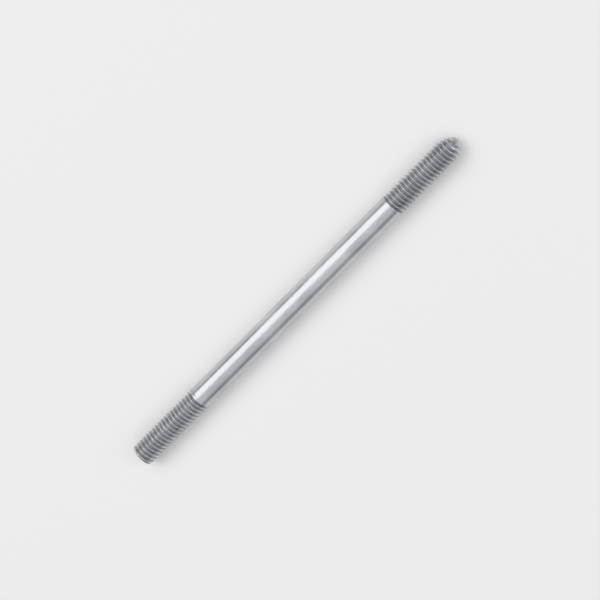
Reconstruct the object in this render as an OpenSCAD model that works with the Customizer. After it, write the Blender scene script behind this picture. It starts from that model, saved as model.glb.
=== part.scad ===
// Double-ended threaded rod: one turned steel piece with a right-hand thread
// on each end of a plain shank. One end is sawn square, and the other has a
// bullet nose that the thread follows almost to the tip.
// The rod lies along +X, with the centre of its square end at the origin.

/* [Rod] */
// Length of the rod from the square end to the tip of the nose
rod_len = 146; // [100:1:300]
// Outside diameter of both threads, over the crests
thread_d = 7.9; // [6:0.1:12]
// How much thinner the plain shank is than the threads, on the diameter
shank_relief = 0.15; // [0.1:0.05:0.4]

/* [Threads] */
// Number of threads in each inch of length
threads_per_inch = 18; // [16:1:22]
// Length of the thread at the square end, with its run-out
base_thread_len = 27; // [18:0.5:36]
// Length of the thread at the nose, from its run-out to the tip
nose_thread_len = 30; // [20:0.5:36]
// Length over which each thread runs out into the plain shank
runout_len = 2.2; // [1.2:0.1:4]
// Angle between the two flanks of the thread
flank_angle = 60; // [50:1:66]

/* [Ends] */
// Width of the broken edge round the square end
end_chamfer = 0.35; // [0.2:0.05:0.6]
// Length of the bullet nose
nose_len = 6; // [5:0.5:8]
// Radius of the dome at the tip of the nose
tip_r = 2; // [1.6:0.1:2.4]
// Length of the smooth cap that the thread leaves bare at the tip
tip_land = 0.5; // [0.4:0.05:0.8]

/* [Hidden] */

// Flat steps round each turn of the thread, and round the shank
thread_steps = 32;
shank_steps = 96;
// How far the ring that ends each thread lies inside the shank's surface
seam = 0.02;

inch = 25.4;
pitch = inch / threads_per_inch;
thread_r = thread_d / 2;
shank_r = thread_r - shank_relief / 2;

// Places along the rod, as heights over the square end
base_thread_end = base_thread_len;
nose_thread_start = rod_len - nose_thread_len;
nose_start = rod_len - nose_len;
tip_start = rod_len - tip_land;

// The form of one thread, in pitches: a flat crest, a flank down to the root,
// a flat root, and a flank back up to the next crest
crest_flat = 1 / 8;
form_depth = 0.6;
flank_run = form_depth * tan(flank_angle / 2);

// Where its four corners are, and how deep, from 0 at the crest to 1 at the root
corner_at = [0, crest_flat, crest_flat + flank_run, 1 - flank_run];
corner_form = [0, 0, 1, 1];
corners = len(corner_at);

// The nose is an arc that leaves the outside of the thread with no corner, and
// meets the dome of the tip with none
nose_arc_r = ((nose_len - tip_r) ^ 2 + thread_r ^ 2 - tip_r ^ 2) / (2 * (thread_r - tip_r));
dome_start = nose_start + nose_arc_r * (nose_len - tip_r) / (nose_arc_r - tip_r);

// Rings on the smooth cap of the tip, the point at its top left out
cap_rings = [for (turn = [0:30:60]) tip_start + tip_land * sin(turn)];

function within(x, low, high) = max(low, min(high, x));
function smooth(x) = x * x * (3 - 2 * x);
function fraction(x) = x - floor(x);

// Outside radius of the nose at height z
function nose_r(z) =
    z > dome_start
        ? sqrt(max(0, tip_r ^ 2 - (z - rod_len + tip_r) ^ 2))
        : thread_r - nose_arc_r + sqrt(nose_arc_r ^ 2 - (z - nose_start) ^ 2);

// How full a thread is: 0 where it meets the plain shank, 1 past its run-out
function runout(z) = within(max(base_thread_end - z, z - nose_thread_start) / runout_len, 0, 1);

// Outside radius of the rod, with the grooves of its threads filled
function crest_r(z) =
    z > nose_start ? nose_r(z) : shank_r - seam + (thread_r - shank_r + seam) * min(1, 2 * runout(z));

// How much of the groove is left on the nose. It shrinks with the square of the
// nose's radius, so that the thread fades out at the smooth cap of the tip
function nose_share(z) =
    z > nose_start
        ? within((nose_r(z) ^ 2 - nose_r(tip_start) ^ 2) / (thread_r ^ 2 - nose_r(tip_start) ^ 2), 0, 1)
        : 1;
function groove_depth(z) = form_depth * pitch * smooth(runout(z)) * nose_share(z);

// Radius of the finished rod where the thread has the given form
function surface_r(z, form) = min(thread_r - end_chamfer + z, crest_r(z) - groove_depth(z) * form);

// The thread's form at a share of one pitch
function form_at(u) =
    u < corner_at[1] ? 0
    : u < corner_at[2] ? (u - corner_at[1]) / flank_run
    : u < corner_at[3] ? 1
    : (1 - u) / flank_run;

// The surface is a set of upright columns of points, one for each step of the
// turn. Each column's thread lies a little higher than the one before, so that
// the thread climbs by one pitch in a turn
function on_column(c, z, r) =
    let (angle = 360 * c / thread_steps) [r * cos(angle), r * sin(angle), z];
function turns(c, z) = z / pitch - c / thread_steps;
function ring_point(c, z) = on_column(c, z, surface_r(z, form_at(fraction(turns(c, z)))));

// Corner k of the thread on column c, counted up from the square end
function corner_point(c, k) =
    let (
        turn = floor(k / corners),
        corner = k - corners * turn,
        z = pitch * (turn + corner_at[corner] + c / thread_steps)
    )
    on_column(c, z, surface_r(z, corner_form[corner]));

// The first corner above height z on column c
function corner_above(c, z) =
    let (t = turns(c, z))
    corners * floor(t) + len([for (at = corner_at) if (at <= fraction(t)) at]);

function sum_before(counts, i) = i == 0 ? 0 : counts[i - 1] + sum_before(counts, i - 1);

// The two triangles between points a and b of one column, and the points d and
// e beside them on the next
function quad(a, b, d, e) = [[a, b, e], [a, e, d]];

// One threaded end, closed from its bottom point to its top point on the axis.
// The thread lies between the last of the rings below and the first of those
// above, and the corners nearest to them keep clear of them
module threaded_end(bottom, below, above, top) {
    clear = 0.03 * pitch;
    columns = [0:thread_steps - 1];
    first = [for (c = columns) corner_above(c, below[len(below) - 1] + clear)];
    last = [for (c = columns) corner_above(c, above[0] - clear) - 1];
    counts = [for (c = columns) len(below) + last[c] - first[c] + 1 + len(above)];
    start = [for (c = [0:thread_steps]) sum_before(counts, c)];

    points = [
        for (c = columns) each concat(
            [for (z = below) ring_point(c, z)],
            [for (k = [first[c]:last[c]]) corner_point(c, k)],
            [for (z = above) ring_point(c, z)]
        ),
        [0, 0, bottom],
        [0, 0, top]
    ];
    bottom_point = len(points) - 2;
    top_point = len(points) - 1;

    // Each column is joined to the next. The last is joined to the first, where
    // the same corner has a number one turn higher
    faces = [
        for (c = columns)
            let (
                d = (c + 1) % thread_steps,
                shift = d == 0 ? corners : 0,
                d_first = first[d] - shift,
                d_last = last[d] - shift,
                c_low = start[c] + len(below) - 1,
                d_low = start[d] + len(below) - 1,
                c_high = start[c + 1] - len(above),
                d_high = start[d + 1] - len(above),
                on_c = function(k) c_low + 1 + k - first[c],
                on_d = function(k) d_low + 1 + k - d_first
            )
            each concat(
                [[bottom_point, start[c], start[d]]],
                [for (i = [1:1:len(below) - 1])
                    each quad(c_low - i, c_low - i + 1, d_low - i, d_low - i + 1)],
                [[c_low, on_d(d_first), d_low]],
                [for (k = [d_first + 1:1:first[c]]) [c_low, on_d(k), on_d(k - 1)]],
                [[c_low, on_c(first[c]), on_d(first[c])]],
                [for (k = [first[c]:1:d_last - 1]) each quad(on_c(k), on_c(k + 1), on_d(k), on_d(k + 1))],
                [[on_c(d_last), d_high, on_d(d_last)]],
                [for (k = [d_last + 1:1:last[c]]) [on_c(k - 1), on_c(k), d_high]],
                [[on_c(last[c]), c_high, d_high]],
                [for (i = [1:1:len(above) - 1])
                    each quad(c_high + i - 1, c_high + i, d_high + i - 1, d_high + i)],
                [[top_point, start[d + 1] - 1, start[c + 1] - 1]]
            )
    ];
    polyhedron(points, faces);
}

// The thread starts at the inner edge of the square end's chamfer
module base_thread() {
    threaded_end(0, [0, end_chamfer], [base_thread_end], base_thread_end);
}

module nose_thread() {
    threaded_end(nose_thread_start, [nose_thread_start], cap_rings, rod_len);
}

module shank() {
    translate([0, 0, base_thread_end])
        cylinder(r = shank_r, h = nose_thread_start - base_thread_end, $fn = shank_steps);
}

module threaded_rod() {
    color("silver")
        rotate([0, 90, 0])
            union() {
                shank();
                base_thread();
                nose_thread();
            }
}

threaded_rod();
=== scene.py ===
import math

import bpy
from mathutils import Matrix, Vector


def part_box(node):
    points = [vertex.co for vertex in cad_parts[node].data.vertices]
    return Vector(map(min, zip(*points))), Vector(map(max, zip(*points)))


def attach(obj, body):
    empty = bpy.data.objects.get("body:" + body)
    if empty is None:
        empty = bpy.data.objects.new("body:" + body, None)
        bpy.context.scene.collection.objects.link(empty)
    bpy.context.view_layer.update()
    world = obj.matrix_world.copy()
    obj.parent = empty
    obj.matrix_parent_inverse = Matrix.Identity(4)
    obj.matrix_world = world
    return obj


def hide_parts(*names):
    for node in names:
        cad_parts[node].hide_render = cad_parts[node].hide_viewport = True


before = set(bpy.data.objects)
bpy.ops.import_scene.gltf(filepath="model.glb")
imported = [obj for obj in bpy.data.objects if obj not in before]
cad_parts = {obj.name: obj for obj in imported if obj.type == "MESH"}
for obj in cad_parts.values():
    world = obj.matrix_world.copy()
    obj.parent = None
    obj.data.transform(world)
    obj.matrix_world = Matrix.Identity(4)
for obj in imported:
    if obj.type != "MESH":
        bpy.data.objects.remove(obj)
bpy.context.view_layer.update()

mm = 0.001
rodLow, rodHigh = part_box("threaded_rod")
print("frame loaded, rod is", round((rodHigh - rodLow).x / mm, 2), "mm long")


class Wire:  # an output socket that Python sums work on
    def __init__(self, graph, socket):
        self.graph = graph
        self.socket = socket

    def out(self, name):  # another output of the same node
        return Wire(self.graph, self.socket.node.outputs[name])

    def __add__(self, other):
        return self.graph.math("ADD", self, other)

    def __radd__(self, other):
        return self.graph.math("ADD", other, self)

    def __sub__(self, other):
        return self.graph.math("SUBTRACT", self, other)

    def __rsub__(self, other):
        return self.graph.math("SUBTRACT", other, self)

    def __mul__(self, other):
        return self.graph.math("MULTIPLY", self, other)

    def __rmul__(self, other):
        return self.graph.math("MULTIPLY", other, self)

    def __truediv__(self, other):
        return self.graph.math("DIVIDE", self, other)

    def __gt__(self, other):
        return self.graph.math("GREATER_THAN", self, other)

    def __lt__(self, other):
        return self.graph.math("LESS_THAN", self, other)


class Graph:  # a node tree, of any kind
    def __init__(self, tree):
        self.tree = tree

    def add(self, kind, settings=None, values=None):
        node = self.tree.nodes.new(kind)
        for name, value in (settings or {}).items():
            if name == "stops":
                self.setStops(node.color_ramp, value)
            else:
                setattr(node, name, value)
        for name, value in (values or {}).items():
            for one in value if isinstance(value, list) else [value]:
                if isinstance(one, Wire):
                    self.tree.links.new(one.socket, node.inputs[name])
                else:
                    node.inputs[name].default_value = one
        return Wire(self, node.outputs[0]) if node.outputs else None

    def setStops(self, ramp, stops):
        for place, grey in stops[2:]:
            ramp.elements.new(place)
        for element, (place, grey) in zip(ramp.elements, stops):
            element.position = place
            element.color = (grey, grey, grey, 1)

    def math(self, operation, *values, clamp=False):
        settings = {"operation": operation, "use_clamp": clamp}
        return self.add("ShaderNodeMath", settings, dict(enumerate(values)))

    def within(self, value):  # held between 0 and 1
        return self.math("ADD", value, 0.0, clamp=True)

    def pick(self, test, yes, no):  # test is 0 or 1
        return no + (yes - no) * test

    def eased(self, value):  # 0 to 1 with no corner at either end
        held = self.within(value)
        return held * held * (3.0 - 2.0 * held)

    def point(self, x, y, z):
        return self.add("ShaderNodeCombineXYZ", None, {"X": x, "Y": y, "Z": z})

    def split(self, vector):  # into its x, y and z
        parts = self.add("ShaderNodeSeparateXYZ", None, {"Vector": vector})
        return parts.out("X"), parts.out("Y"), parts.out("Z")

    def mixColour(self, share, low, high):  # 6, 7 and 2 are the node's sockets for colours
        mixed = self.add("ShaderNodeMix", {"data_type": "RGBA"}, {"Factor": share, 6: low, 7: high})
        return mixed.out(2)


# The rod is one surface on unrolled sheets: across is the place along the rod,
# up is the share of a turn. The two threaded sheets climb by a pitch in a turn.
threadPitch = 25.4 / 18 * mm
threadDepth = 0.6                 # in pitches
rodSizes = {
    "length": (rodHigh - rodLow).x,
    "thread radius": (rodHigh - rodLow).z / 2,
    "shank relief": 0.075 * mm,   # how far the shank lies under the crests
    "pitch": threadPitch,
    "base thread": 27 * mm + threadPitch,    # one turn more than the solid's, as drawn
    "nose thread": 30 * mm,
    "run-out": 1.4 * mm,          # shorter than the solid's, as the last arcs are drawn crisp
    "chamfer": 0.35 * mm,
    "nose": 6 * mm,
    "tip radius": 2 * mm,
    "tip land": 0.5 * mm,
    "nose fullness": 0.8,         # how much deeper than the solid's the thread is near the tip
    "thread depth": threadDepth,
    "crest flat": 0.125,          # in pitches, as is the run of a flank
    "flank run": threadDepth * math.tan(math.radians(30)),
    "crest rounding": 0.12,       # shares of the thread's depth
    "root rounding": 0.4,
    "edge rounding": 0.1 * mm,
    "edge strip": 0.08 * mm,      # half of the strip that is gathered into the square end's edge
    "steps": 96,                  # round one turn
    "rows": 18,                   # along one pitch
    "shank rows": 30,
}


def flatGrid(graph, size, columns, rows):
    grid = graph.add("GeometryNodeMeshGrid", None, {
        "Vertices X": columns + 1.0,
        "Vertices Y": rows + 1.0,
    })
    index = graph.add("GeometryNodeInputIndex")
    column = graph.math("FLOOR", index / (rows + 1.0))
    row = (index - column * (rows + 1.0)) / rows    # from 0 to 1
    turn = graph.math("MODULO", column, size["steps"]) / size["steps"]
    return grid, column, row, turn


def helicalSheet(graph, size, low, high):
    # Whole turns, with some to spare at both ends. What is past the ends is
    # pressed flat against them and taken away
    first = graph.math("FLOOR", low / size["pitch"]) - 2.0
    turns = graph.math("CEIL", high / size["pitch"]) - first + 1.0
    grid, column, row, turn = flatGrid(graph, size, turns * size["steps"], size["rows"])
    crowding = 0.6    # of the rows, at crests and roots
    twoWaves = 4 * math.pi
    row = row - graph.math("SINE", row * twoWaves) * (crowding / twoWaves)
    station = size["pitch"] * (first + column / size["steps"] + size["crest flat"] / 2.0 + row)
    station = graph.math("MINIMUM", graph.math("MAXIMUM", station, low), high)
    wound = graph.add("GeometryNodeSetPosition", None, {
        "Geometry": grid,
        "Position": graph.point(station, turn, 0.0),
    })
    x = graph.split(graph.add("GeometryNodeInputPosition"))[0]
    hair = 0.0001 * mm
    past = graph.math("MAXIMUM", x > high - hair, x < low + hair)
    return graph.add("GeometryNodeDeleteGeometry", {"domain": "FACE"}, {
        "Geometry": wound,
        "Selection": past,
    })


def plainSheet(graph, size, low, high):
    grid, _, row, turn = flatGrid(graph, size, size["steps"], size["shank rows"])
    return graph.add("GeometryNodeSetPosition", None, {
        "Geometry": grid,
        "Position": graph.point(low + (high - low) * row, turn, 0.0),
    })


def rodSurface(graph, size, station, turn):
    length = size["length"]
    radius = size["thread radius"]
    pitch = size["pitch"]
    tipRadius = size["tip radius"]
    tipLand = size["tip land"]
    noseStart = length - size["nose"]
    noseThreadStart = length - size["nose thread"]

    # Past both ends the sheet goes on over the flat face and over the tip. A strip
    # of it is gathered into the edge of the face, which keeps the edge clean, and
    # the sheet is stretched beside the strip to make up for it
    strip = size["edge strip"]
    stretch = 1.5
    gathered = graph.math("MINIMUM", station, stretch * (station - strip))
    tipStart = length - tipLand
    past = (station - tipStart) / pitch
    onTip = length - tipLand * (1.0 - past) * (1.0 - past)
    place = graph.pick(station > tipStart, onTip, graph.math("MAXIMUM", gathered, 0.0))
    faceShare = 1.0 + graph.math("MINIMUM", station + strip, 0.0) / (pitch - strip)

    # The nose is an arc that ends in a dome
    noseLine = size["nose"] - tipRadius
    arcRadius = (noseLine * noseLine + radius * radius - tipRadius * tipRadius) / (
        2.0 * (radius - tipRadius))
    domeStart = noseStart + arcRadius * noseLine / (arcRadius - tipRadius)

    def circleAt(centre, circleRadius):  # its height at this place
        away = place - centre
        square = circleRadius * circleRadius - away * away
        return graph.math("SQRT", graph.math("MAXIMUM", square, 0.0))

    arc = radius - arcRadius + circleAt(noseStart, arcRadius)
    dome = circleAt(length - tipRadius, tipRadius)
    nose = graph.pick(place > domeStart, dome, arc)
    onNose = place > noseStart

    # The thread is full past its run-out, and grows shallow along the nose with
    # the square of its radius
    inThread = graph.math("MAXIMUM", size["base thread"] - place, place - noseThreadStart)
    full = graph.within(inThread / size["run-out"])
    relief = size["shank relief"] * (1.0 - graph.within(2.0 * full))
    crest = graph.pick(onNose, nose, radius - relief)
    landSquare = tipLand * (2.0 * tipRadius - tipLand)
    thinning = graph.within((nose * nose - landSquare) / (radius * radius - landSquare))
    thinning = thinning * (1.0 + size["nose fullness"] * (1.0 - thinning))
    share = graph.eased(full) * graph.pick(onNose, thinning, 1.0)

    # Height of one thread: 1 at the middle of its crest, 0 at the middle of its root.
    # Its groove gets narrow where it is shallow, as a cutter leaves it
    phase = graph.math("FRACT", place / pitch - turn - size["crest flat"] / 2.0)
    height = graph.math("ABSOLUTE", 2.0 * phase - 1.0)
    groove = (1.0 - size["crest flat"] - height) / (2.0 * size["flank run"]) - (1.0 - share)
    groove = graph.math("SMOOTH_MAX", groove, 0.0, size["crest rounding"])
    groove = graph.math("SMOOTH_MIN", groove, share, size["root rounding"] * share)

    chamfered = radius - size["chamfer"] + place
    outside = crest - size["thread depth"] * pitch * groove
    outside = graph.math("SMOOTH_MIN", outside, chamfered, size["edge rounding"])

    # A shallow groove is nearly as dull as a deep one, and gets nearly as much painted shade in its
    # colour
    evenness = 0.75
    leastShare = 0.001
    dullness = groove / graph.math("POWER", graph.math("MAXIMUM", share, leastShare), evenness)
    return place, outside * faceShare, dullness


def rodTree():
    tree = bpy.data.node_groups.new("threadedRod", "GeometryNodeTree")
    graph = Graph(tree)

    def newSocket(name, kind, way="INPUT"):
        return tree.interface.new_socket(name, in_out=way, socket_type=kind)

    newSocket("Geometry", "NodeSocketGeometry", "OUTPUT")
    kinds = {float: "NodeSocketFloat", int: "NodeSocketInt"}
    sockets = {name: newSocket(name, kinds[type(value)]) for name, value in rodSizes.items()}
    sockets["plating"] = newSocket("plating", "NodeSocketMaterial")
    given = graph.add("NodeGroupInput")
    size = {name: given.out(name) for name in sockets}

    noseThreadStart = size["length"] - size["nose thread"]
    pastFace = size["pitch"] * -1.0
    pastTip = size["length"] - size["tip land"] + size["pitch"]
    sheets = [
        helicalSheet(graph, size, pastFace, size["base thread"]),
        plainSheet(graph, size, size["base thread"], noseThreadStart),
        helicalSheet(graph, size, noseThreadStart, pastTip),
    ]
    flat = graph.add("GeometryNodeJoinGeometry", None, {"Geometry": sheets})

    station, turn, _ = graph.split(graph.add("GeometryNodeInputPosition"))
    place, radius, dullness = rodSurface(graph, size, station, turn)
    angle = turn * (2 * math.pi)
    # Stored for the plating: rougher roots, and painted shade darkening their colour
    marked = graph.add(
        "GeometryNodeStoreNamedAttribute", {"data_type": "FLOAT", "domain": "POINT"},
        {"Geometry": flat, "Name": "dullness", "Value": dullness})
    rolled = graph.add("GeometryNodeSetPosition", None, {
        "Geometry": marked,
        "Position": graph.point(
            place,
            radius * graph.math("SINE", angle),
            radius * graph.math("COSINE", angle) * -1.0),
    })
    closed = graph.add("GeometryNodeMergeByDistance", None, {
        "Geometry": rolled,
        "Distance": 0.001 * mm,
    })
    smooth = graph.add("GeometryNodeSetShadeSmooth", None, {"Geometry": closed})
    real = graph.add("GeometryNodeRealizeInstances", None, {"Geometry": smooth})
    plated = graph.add("GeometryNodeSetMaterial", None, {
        "Geometry": real,
        "Material": size["plating"],
    })
    graph.add("NodeGroupOutput", None, {"Geometry": plated})
    return tree, sockets


def threadedRod(plating):
    tree, sockets = rodTree()
    maker = bpy.data.objects.new("rodMaker", bpy.data.meshes.new("rodMaker"))
    bpy.context.collection.objects.link(maker)
    modifier = maker.modifiers.new("threadedRod", "NODES")
    modifier.node_group = tree
    for name, value in {**rodSizes, "plating": plating}.items():
        modifier[sockets[name].identifier] = value
    made = maker.evaluated_get(bpy.context.evaluated_depsgraph_get())
    mesh = bpy.data.meshes.new_from_object(made)
    maker.modifiers.remove(modifier)
    bpy.data.objects.remove(maker)
    mesh.name = "threadedRod"
    sharpFrom = math.radians(43)    # facets at a larger angle than this meet in a sharp edge
    mesh.set_sharp_from_angle(angle=sharpFrom)
    rod = bpy.data.objects.new("threadedRod", mesh)
    bpy.context.collection.objects.link(rod)
    return rod


platingLook = {
    "light": (0.66, 0.67, 0.69, 1),
    "dull": (0.52, 0.54, 0.57, 1),
    # darker colour painted into the thread roots as shade
    "root": (0.34, 0.35, 0.37, 1),
    "paintedRootShadeShare": 0.75,                # how much of the painted root shade shows in the roots
    "cloudContrast": 2.4,
    "roughness": 0.35,
    "roughnessOf": {"lines": 0.22, "clouds": 0.16, "grain": 0.10, "roots": 0.14},
    "bump": 0.35,
    "bumpHeight": 0.02 * mm,
    "bumpOf": {"lines": 0.7, "grain": 0.5},
    "drawnScale": (90, 5200, 5200),   # of the lines along the shank
    "turnedScale": 7000.0,            # of the rings on threads and ends
    "cloudScale": 140.0,
    "grainScale": 1800.0,
}


def zincPlating():
    look = platingLook
    material = bpy.data.materials.new("zincPlating")
    material.use_nodes = True
    material.node_tree.nodes.clear()
    graph = Graph(material.node_tree)
    coordinates = graph.add("ShaderNodeTexCoord").out("Object")
    along, y, z = graph.split(coordinates)
    fromAxis = graph.math("SQRT", y * y + z * z)
    dullness = graph.add("ShaderNodeAttribute", {"attribute_name": "dullness"}).out("Fac")

    def noise(vector, scale, detail):
        return graph.add("ShaderNodeTexNoise", None, {
            "Vector": vector, "Scale": scale, "Detail": detail})

    stretched = graph.add("ShaderNodeMapping", None, {
        "Vector": coordinates, "Scale": look["drawnScale"]})
    drawn = noise(stretched, 1.0, 4.0)
    turned = graph.add("ShaderNodeTexNoise", {"noise_dimensions": "1D"}, {
        "W": (along + fromAxis) * look["turnedScale"], "Scale": 1.0, "Detail": 3.0})
    clouds = noise(coordinates, look["cloudScale"], 4.0)
    grain = noise(coordinates, look["grainScale"], 3.0)

    threadEnd = rodSizes["base thread"]
    noseThreadStart = rodSizes["length"] - rodSizes["nose thread"]
    onShank = (along > threadEnd) * (along < noseThreadStart)
    lines = graph.pick(onShank, drawn, turned)

    # Each noise lies about 0.5
    cloudShare = graph.within((clouds - 0.5) * look["cloudContrast"] + 0.5)
    # Painted shade: the roots' colour is darkened by the groove's depth, and they are also made
    # rougher below
    paintedRootShadeShare = graph.eased(dullness) * look["paintedRootShadeShare"]
    colour = graph.mixColour(cloudShare, look["dull"], look["light"])
    colour = graph.mixColour(paintedRootShadeShare, colour, look["root"])
    change = look["roughnessOf"]
    roughness = (look["roughness"]
                 + (lines - 0.5) * change["lines"]
                 + (clouds - 0.5) * change["clouds"]
                 + (grain - 0.5) * change["grain"]
                 + dullness * change["roots"])
    relief = lines * look["bumpOf"]["lines"] + grain * look["bumpOf"]["grain"]
    bump = graph.add("ShaderNodeBump", None, {
        "Strength": look["bump"], "Distance": look["bumpHeight"], "Height": relief})
    shader = graph.add("ShaderNodeBsdfPrincipled", None, {
        "Base Color": colour,
        "Metallic": 1.0,
        "Roughness": graph.within(roughness),
        "Normal": bump,
    })
    graph.add("ShaderNodeOutputMaterial", None, {"Surface": shader})
    return material


rod = threadedRod(zincPlating())
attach(rod, "root")
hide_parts("threaded_rod")
print("rod made:", len(rod.data.polygons), "faces")


studio = {
    "floorSize": 6.0,
    "floorGrey": 0.93,
    "floorRoughness": 0.8,
    "floorGloss": 0.2,
    # From the horizon to the top. The dark band draws a line along each side of the shank
    "skyGrey": [(0.0, 0.80), (0.12, 0.80), (0.18, 0.18), (0.36, 0.18), (0.64, 0.85), (1.0, 0.85)],
    "lamps": {
        "key": {"size": (1.1, 0.8), "place": (-0.05, 0.70, 0.85), "power": 5.0},
        "fill": {"size": (0.5, 0.5), "place": (0.75, -0.45, 0.55), "power": 1.2},
    },
}


def floor():
    half = studio["floorSize"] / 2
    square = ((-half, -half), (half, -half), (half, half), (-half, half))
    mesh = bpy.data.meshes.new("floor")
    mesh.from_pydata([(x, y, rodLow.z) for x, y in square], [], [(0, 1, 2, 3)])
    plane = bpy.data.objects.new("floor", mesh)
    bpy.context.collection.objects.link(plane)
    material = bpy.data.materials.new("floorPaper")
    material.use_nodes = True
    material.node_tree.nodes.clear()
    graph = Graph(material.node_tree)
    grey = studio["floorGrey"]
    shader = graph.add("ShaderNodeBsdfPrincipled", None, {
        "Base Color": (grey, grey, grey, 1),
        "Roughness": studio["floorRoughness"],
        "Specular IOR Level": studio["floorGloss"],
    })
    graph.add("ShaderNodeOutputMaterial", None, {"Surface": shader})
    mesh.materials.append(material)


def softbox(name, size, place, power):
    light = bpy.data.lights.new(name, "AREA")
    light.shape = "RECTANGLE"
    light.size, light.size_y = size
    light.energy = power
    lamp = bpy.data.objects.new(name, light)
    lamp.location = place
    aim = Vector((rodHigh.x / 2, 0, 0)) - lamp.location
    lamp.rotation_euler = aim.to_track_quat("-Z", "Y").to_euler()
    lamp.visible_camera = False
    bpy.context.collection.objects.link(lamp)


def sky():
    world = bpy.data.worlds.new("studio")
    bpy.context.scene.world = world
    world.use_nodes = True
    world.node_tree.nodes.clear()
    graph = Graph(world.node_tree)
    rise = graph.split(graph.add("ShaderNodeTexCoord").out("Generated"))[2]
    grey = graph.add("ShaderNodeValToRGB", {"stops": studio["skyGrey"]}, {"Fac": rise})
    light = graph.add("ShaderNodeBackground", None, {"Color": grey})
    graph.add("ShaderNodeOutputWorld", None, {"Surface": light})


floor()
sky()
for name, lamp in studio["lamps"].items():
    softbox(name, **lamp)
bpy.context.scene.view_settings.view_transform = "Khronos PBR Neutral"
print("studio made")


# The drawing shows the rod climbing to the upper right at 45 degrees, with its
# nose the nearer end
view = {
    "tilt": math.radians(16.5),   # of the rod out of the picture, towards the eye
    "roll": math.radians(45),
    "distance": 1.0,
    "lens": 191.9,
    "clip": (0.01, 20),
    "lookAt": (73.86 * mm, -0.51 * mm, 0),
}


def camera():
    lens = bpy.data.cameras.new("camera")
    lens.lens = view["lens"]
    lens.clip_start, lens.clip_end = view["clip"]
    eye = bpy.data.objects.new("camera", lens)
    tilt, roll = view["tilt"], view["roll"]
    alongRod = Vector((math.cos(tilt), 0, -math.sin(tilt)))
    acrossRod = Vector((0, 1, 0))
    back = Vector((math.sin(tilt), 0, math.cos(tilt)))
    right = math.cos(roll) * alongRod - math.sin(roll) * acrossRod
    up = math.sin(roll) * alongRod + math.cos(roll) * acrossRod
    turned = Matrix((right, up, back)).transposed().to_4x4()
    place = Vector(view["lookAt"]) + back * view["distance"]
    eye.matrix_world = Matrix.Translation(place) @ turned
    bpy.context.collection.objects.link(eye)
    bpy.context.scene.camera = eye


camera()
print("camera placed")
